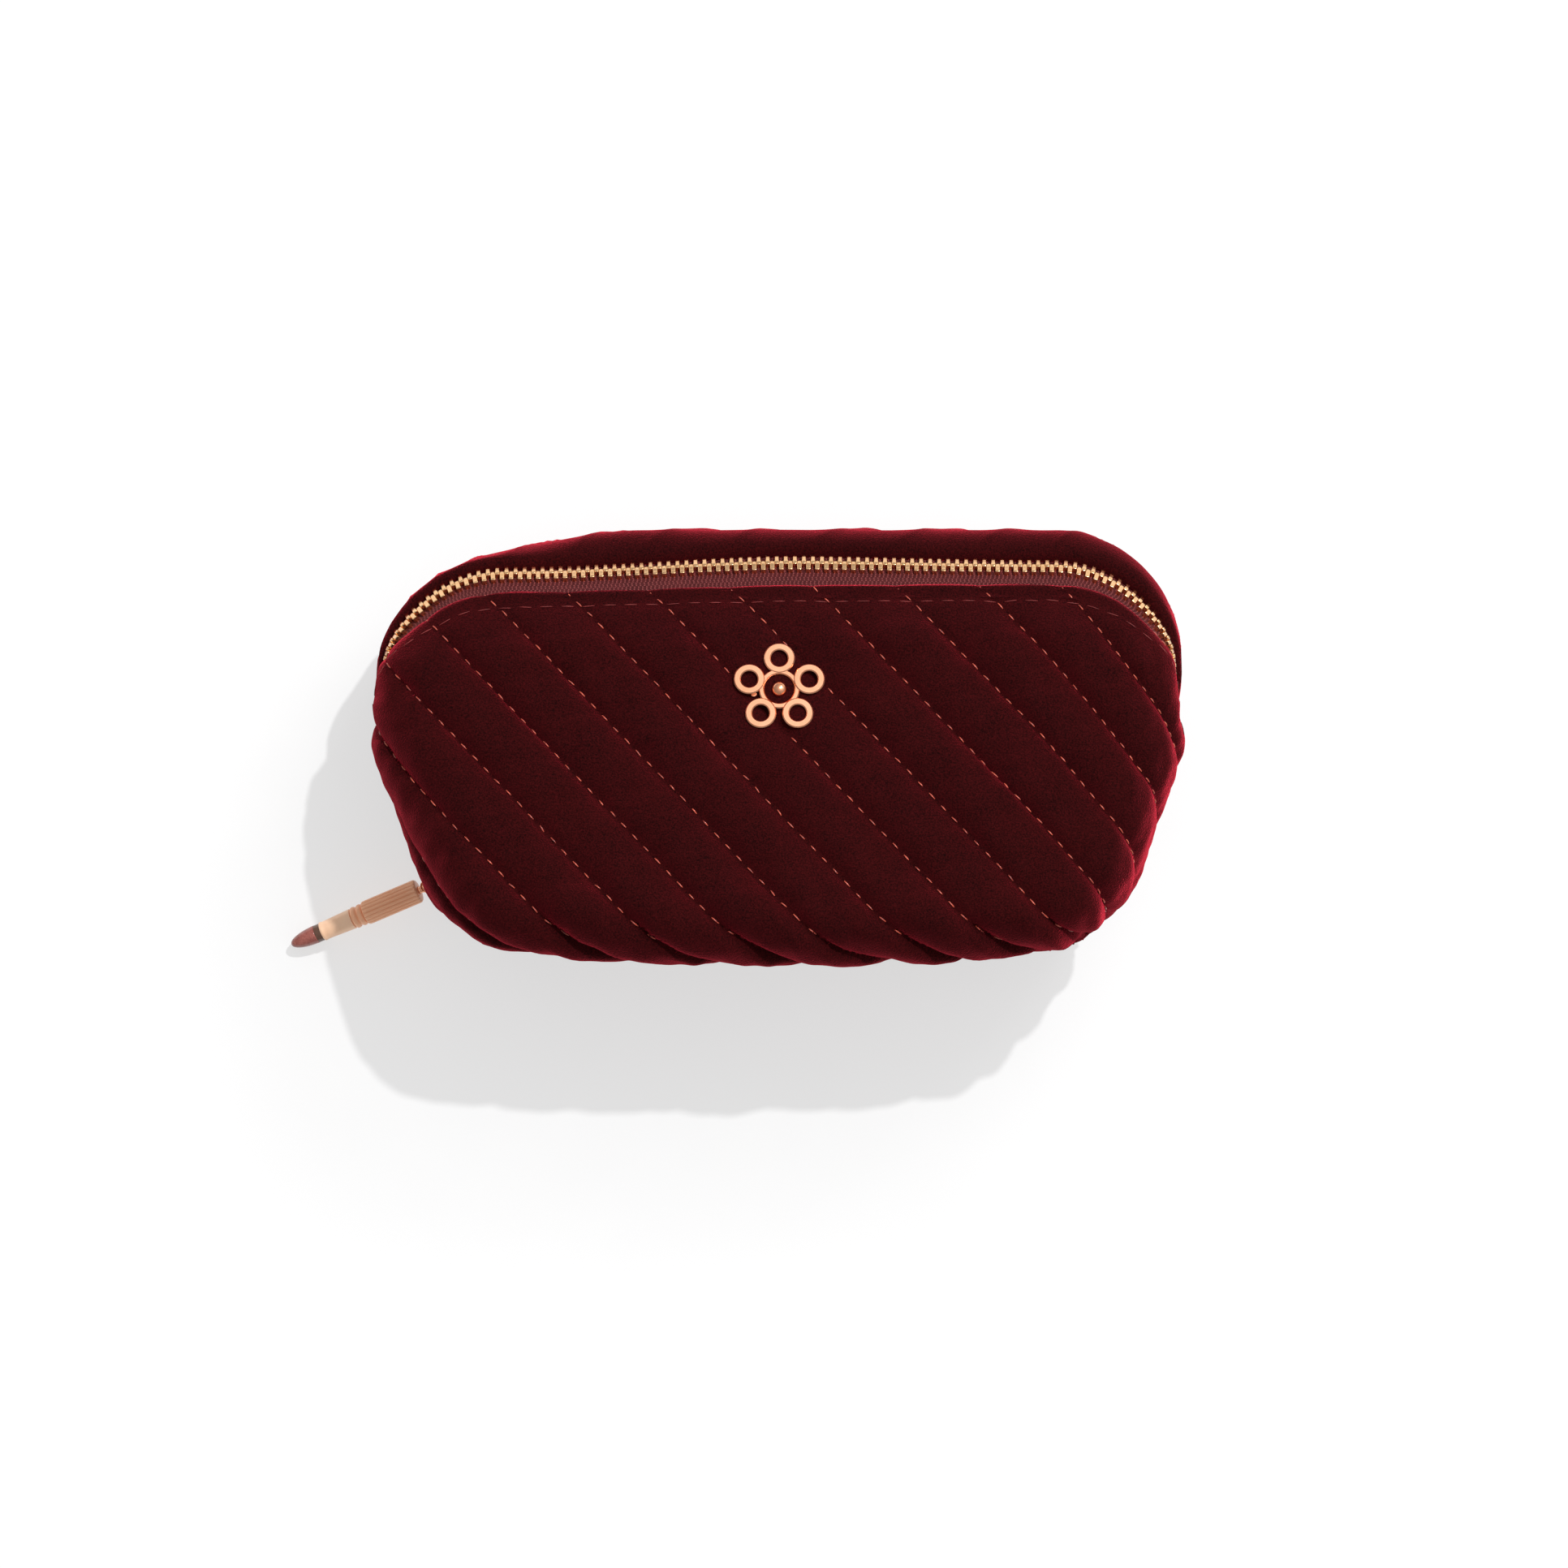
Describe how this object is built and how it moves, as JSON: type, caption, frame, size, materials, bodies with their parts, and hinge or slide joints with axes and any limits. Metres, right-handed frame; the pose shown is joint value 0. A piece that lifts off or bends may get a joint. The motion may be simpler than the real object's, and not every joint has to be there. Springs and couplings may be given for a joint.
{
  "type": "makeup bag",
  "caption": "Quilted velvet makeup bag with a curved metal zip, a round blossom emblem and a small brush-shaped pull charm.",
  "frame": {"origin": "on the surface the bag lies on, at the middle of the back panel", "axes": "+Z out of the lying bag through its front panel, +Y from the base to the zip, +X across the width"},
  "size_m": [0.2288, 0.1083, 0.0761],
  "materials": {
    "velvet": "quilted velvet pile",
    "lining": "plain woven lining",
    "label": "smooth blank tab",
    "zip_tape": "herringbone woven tape",
    "gold_teeth": "polished rose gold plate",
    "binding": "ribbed binding tape",
    "rose_gold": "polished rose gold plate",
    "pale_gold": "satin pale gold plate",
    "steel": "bright zinc",
    "enamel": "translucent enamel",
    "thread": "glossy sewing thread"
  },
  "bodies": {
    "bag": {"back_shell": "velvet", "front_fold": "velvet", "front_shell_lower": "velvet", "lining_back": "lining", "lining_lower": "lining", "zip_tape_back": "zip_tape", "zip_chain_back": "gold_teeth", "zip_stop_left": "gold_teeth", "zip_stop_right": "gold_teeth", "seam_binding_left": "binding", "seam_binding_right": "binding", "seam_binding_base": "binding", "inner_label": "label"},
    "front_lip": {"front_shell_upper": "velvet", "lining_front": "lining", "zip_tape_front": "zip_tape", "zip_chain_front": "gold_teeth", "emblem": "rose_gold", "emblem_posts": "steel", "emblem_washer": "steel"},
    "slider": {"slider_body": "rose_gold", "slider_bail": "rose_gold"},
    "pull_link": {"pull_link": "rose_gold"},
    "charm": {"jump_ring": "rose_gold", "charm_loop": "rose_gold", "charm_handle": "rose_gold", "charm_collar": "rose_gold", "charm_ferrule": "pale_gold", "charm_tip": "enamel"}
  },
  "joints": [
    {"name": "mouth_open", "type": "hinge", "parent": "bag", "child": "front_lip", "pos_m": [0, -0.035, 0.038], "axis": [1, 0, 0], "range_deg": [0, 30], "deforming": ["front_fold", "zip_tape_front", "zip_chain_front"]},
    {"name": "slider_run", "type": "slide", "parent": "bag", "child": "slider", "axis": [-0.3493, 0.9324, 0.0932], "range_m": [0, 0.018], "deforming": ["zip_tape_back", "zip_chain_back"]},
    {"name": "link_swing", "type": "hinge", "parent": "slider", "child": "pull_link", "pos_m": [-0.08931, -0.02799, 0.03859], "axis": [-0.3493, 0.9324, 0.0932], "range_deg": [0, 75]},
    {"name": "charm_swing", "type": "hinge", "parent": "pull_link", "child": "charm", "pos_m": [-0.09151, -0.02629, 0.01959], "axis": [-0.3955, 0.9184, 0], "range_deg": [0, 30]}
  ]
}
